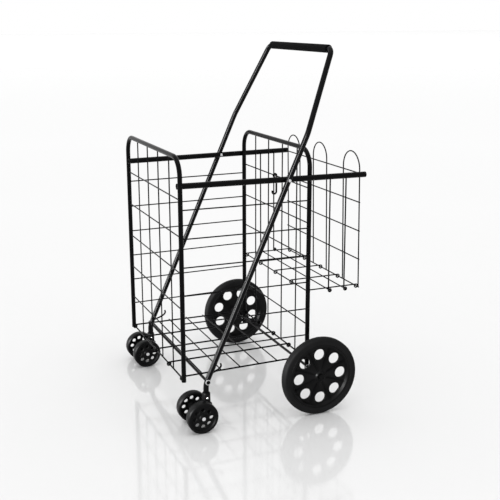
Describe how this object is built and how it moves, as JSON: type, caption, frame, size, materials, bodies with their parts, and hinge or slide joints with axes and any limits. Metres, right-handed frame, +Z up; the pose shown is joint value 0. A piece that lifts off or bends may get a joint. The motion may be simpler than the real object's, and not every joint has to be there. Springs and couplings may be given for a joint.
{
  "type": "folding shopping trolley",
  "caption": "Folding wire shopping trolley: deep basket, small rear basket, slanted push handle with foam grip, large rear wheels and twin-wheel swivel casters.",
  "frame": {"origin": "centre of the footprint, on the floor", "axes": "+Z up, -Y the way the trolley is pushed (front panel and casters), +Y the rear basket, +X the pusher's left"},
  "size_m": [0.6756, 0.5646, 1.0315],
  "materials": {
    "black_powder_coat": "gloss black powder coat",
    "black_plastic": "satin black moulded plastic",
    "tyre_rubber": "matte black rubber",
    "grip_foam": "matte charcoal foam",
    "bright_zinc": "bright zinc plate"
  },
  "bodies": {
    "rear_panel": {"rear_frame_tube": "black_powder_coat", "rear_panel_mesh": "black_powder_coat", "rear_axle": "black_powder_coat", "axle_cap_left": "black_plastic", "axle_cap_right": "black_plastic"},
    "rear_wheel_left": {"wheel_disc_left": "black_plastic", "tyre_left": "tyre_rubber"},
    "rear_wheel_right": {"wheel_disc_right": "black_plastic", "tyre_right": "tyre_rubber"},
    "rails": {"rail_left": "black_powder_coat", "rail_right": "black_powder_coat", "rail_cap_left": "black_plastic", "rail_cap_right": "black_plastic", "front_rivet_left": "bright_zinc", "front_rivet_right": "bright_zinc", "rear_rivet_left": "bright_zinc", "rear_rivet_right": "bright_zinc", "handle_rivet_left": "bright_zinc", "handle_rivet_right": "bright_zinc"},
    "front_panel": {"front_frame_tube": "black_powder_coat", "front_panel_mesh": "black_powder_coat", "post_plug_left": "black_plastic", "post_plug_right": "black_plastic"},
    "side_wires_1": {"side_wire_1_left": "black_powder_coat", "side_wire_1_right": "black_powder_coat"},
    "side_wires_2": {"side_wire_2_left": "black_powder_coat", "side_wire_2_right": "black_powder_coat"},
    "side_wires_3": {"side_wire_3_left": "black_powder_coat", "side_wire_3_right": "black_powder_coat"},
    "side_wires_4": {"side_wire_4_left": "black_powder_coat", "side_wire_4_right": "black_powder_coat"},
    "side_wires_5": {"side_wire_5_left": "black_powder_coat", "side_wire_5_right": "black_powder_coat"},
    "side_wires_6": {"side_wire_6_left": "black_powder_coat", "side_wire_6_right": "black_powder_coat"},
    "main_floor": {"main_floor_grid": "black_powder_coat"},
    "basket_face": {"rear_basket_face": "black_powder_coat"},
    "basket_floor": {"rear_basket_floor": "black_powder_coat"},
    "basket_links_1": {"rear_link_1_left": "black_powder_coat", "rear_link_1_right": "black_powder_coat"},
    "basket_links_2": {"rear_link_2_left": "black_powder_coat", "rear_link_2_right": "black_powder_coat"},
    "handle": {"handle_tube": "black_powder_coat", "foam_grip": "grip_foam", "cross_rod": "bright_zinc", "lock_hook_left": "black_powder_coat", "lock_hook_right": "black_powder_coat", "caster_socket_left": "black_plastic", "caster_socket_right": "black_plastic"},
    "caster_left": {"caster_fork_left": "black_plastic", "caster_pin_left": "bright_zinc", "caster_axle_left": "bright_zinc"},
    "caster_wheel_left_outer": {"caster_wheel_left_outer": "black_plastic"},
    "caster_wheel_left_inner": {"caster_wheel_left_inner": "black_plastic"},
    "caster_right": {"caster_fork_right": "black_plastic", "caster_pin_right": "bright_zinc", "caster_axle_right": "bright_zinc"},
    "caster_wheel_right_outer": {"caster_wheel_right_outer": "black_plastic"},
    "caster_wheel_right_inner": {"caster_wheel_right_inner": "black_plastic"},
    "latch": {"latch_hook": "black_powder_coat"}
  },
  "joints": [
    {"name": "fold", "type": "hinge", "parent": "rear_panel", "child": "rails", "pos_m": [0, 0.11297, 0.675], "axis": [-1, 0, 0], "range_deg": [0, 73]},
    {"name": "front_panel_hinge", "type": "hinge", "parent": "rails", "child": "front_panel", "pos_m": [0, -0.27003, 0.675], "axis": [-1, 0, 0], "range_deg": [-73, 0]},
    {"name": "side_wires_1_hinge", "type": "hinge", "parent": "rear_panel", "child": "side_wires_1", "pos_m": [0, 0.11297, 0.216], "axis": [-1, 0, 0], "range_deg": [0, 73]},
    {"name": "side_wires_2_hinge", "type": "hinge", "parent": "rear_panel", "child": "side_wires_2", "pos_m": [0, 0.11297, 0.295], "axis": [-1, 0, 0], "range_deg": [0, 73]},
    {"name": "side_wires_3_hinge", "type": "hinge", "parent": "rear_panel", "child": "side_wires_3", "pos_m": [0, 0.11297, 0.374], "axis": [-1, 0, 0], "range_deg": [0, 73]},
    {"name": "side_wires_4_hinge", "type": "hinge", "parent": "rear_panel", "child": "side_wires_4", "pos_m": [0, 0.11297, 0.453], "axis": [-1, 0, 0], "range_deg": [0, 73]},
    {"name": "side_wires_5_hinge", "type": "hinge", "parent": "rear_panel", "child": "side_wires_5", "pos_m": [0, 0.11297, 0.532], "axis": [-1, 0, 0], "range_deg": [0, 73]},
    {"name": "side_wires_6_hinge", "type": "hinge", "parent": "rear_panel", "child": "side_wires_6", "pos_m": [0, 0.11297, 0.611], "axis": [-1, 0, 0], "range_deg": [0, 73]},
    {"name": "main_floor_hinge", "type": "hinge", "parent": "rear_panel", "child": "main_floor", "pos_m": [0, 0.11297, 0.137], "axis": [-1, 0, 0], "range_deg": [0, 73]},
    {"name": "basket_face_hinge", "type": "hinge", "parent": "rails", "child": "basket_face", "pos_m": [0, 0.26997, 0.675], "axis": [-1, 0, 0], "range_deg": [-73, 0]},
    {"name": "basket_floor_hinge", "type": "hinge", "parent": "rear_panel", "child": "basket_floor", "pos_m": [0, 0.11887, 0.338], "axis": [-1, 0, 0], "range_deg": [0, 73]},
    {"name": "basket_links_1_hinge", "type": "hinge", "parent": "rails", "child": "basket_links_1", "pos_m": [0, 0.17397, 0.6772], "axis": [-1, 0, 0], "range_deg": [-73, 0]},
    {"name": "basket_links_2_hinge", "type": "hinge", "parent": "rails", "child": "basket_links_2", "pos_m": [0, 0.22297, 0.6772], "axis": [-1, 0, 0], "range_deg": [-73, 0]},
    {"name": "handle_pivot", "type": "hinge", "parent": "rails", "child": "handle", "pos_m": [0, 0.03597, 0.675], "axis": [-1, 0, 0], "range_deg": [-78, 0]},
    {"name": "rear_wheel_left_spin", "type": "hinge", "parent": "rear_panel", "child": "rear_wheel_left", "pos_m": [0.316, 0.11297, 0.1145], "axis": [1, 0, 0], "continuous": true},
    {"name": "rear_wheel_right_spin", "type": "hinge", "parent": "rear_panel", "child": "rear_wheel_right", "pos_m": [-0.316, 0.11297, 0.1145], "axis": [1, 0, 0], "continuous": true},
    {"name": "caster_left_swivel", "type": "hinge", "parent": "handle", "child": "caster_left", "pos_m": [0.2657, -0.21122, 0.0705], "axis": [0, 0, 1], "continuous": true},
    {"name": "caster_wheel_left_outer_spin", "type": "hinge", "parent": "caster_left", "child": "caster_wheel_left_outer", "pos_m": [0.3077, -0.23822, 0.044], "axis": [1, 0, 0], "continuous": true},
    {"name": "caster_wheel_left_inner_spin", "type": "hinge", "parent": "caster_left", "child": "caster_wheel_left_inner", "pos_m": [0.2237, -0.23822, 0.044], "axis": [1, 0, 0], "continuous": true},
    {"name": "caster_right_swivel", "type": "hinge", "parent": "handle", "child": "caster_right", "pos_m": [-0.2657, -0.21122, 0.0705], "axis": [0, 0, 1], "continuous": true},
    {"name": "caster_wheel_right_outer_spin", "type": "hinge", "parent": "caster_right", "child": "caster_wheel_right_outer", "pos_m": [-0.3077, -0.23822, 0.044], "axis": [1, 0, 0], "continuous": true},
    {"name": "caster_wheel_right_inner_spin", "type": "hinge", "parent": "caster_right", "child": "caster_wheel_right_inner", "pos_m": [-0.2237, -0.23822, 0.044], "axis": [1, 0, 0], "continuous": true},
    {"name": "latch_swing", "type": "hinge", "parent": "rear_panel", "child": "latch", "pos_m": [-0.008, 0.11887, 0.64], "axis": [1, 0, 0], "range_deg": [-45, 80]}
  ],
  "couplings": [
    {"joint": "front_panel_hinge", "follows": "fold", "ratio": -1},
    {"joint": "side_wires_1_hinge", "follows": "fold", "ratio": 1},
    {"joint": "side_wires_2_hinge", "follows": "fold", "ratio": 1},
    {"joint": "side_wires_3_hinge", "follows": "fold", "ratio": 1},
    {"joint": "side_wires_4_hinge", "follows": "fold", "ratio": 1},
    {"joint": "side_wires_5_hinge", "follows": "fold", "ratio": 1},
    {"joint": "side_wires_6_hinge", "follows": "fold", "ratio": 1},
    {"joint": "main_floor_hinge", "follows": "fold", "ratio": 1},
    {"joint": "basket_face_hinge", "follows": "fold", "ratio": -1},
    {"joint": "basket_floor_hinge", "follows": "fold", "ratio": 1},
    {"joint": "basket_links_1_hinge", "follows": "fold", "ratio": -1},
    {"joint": "basket_links_2_hinge", "follows": "fold", "ratio": -1},
    {"joint": "handle_pivot", "follows": "fold", "ratio": -1.06}
  ]
}
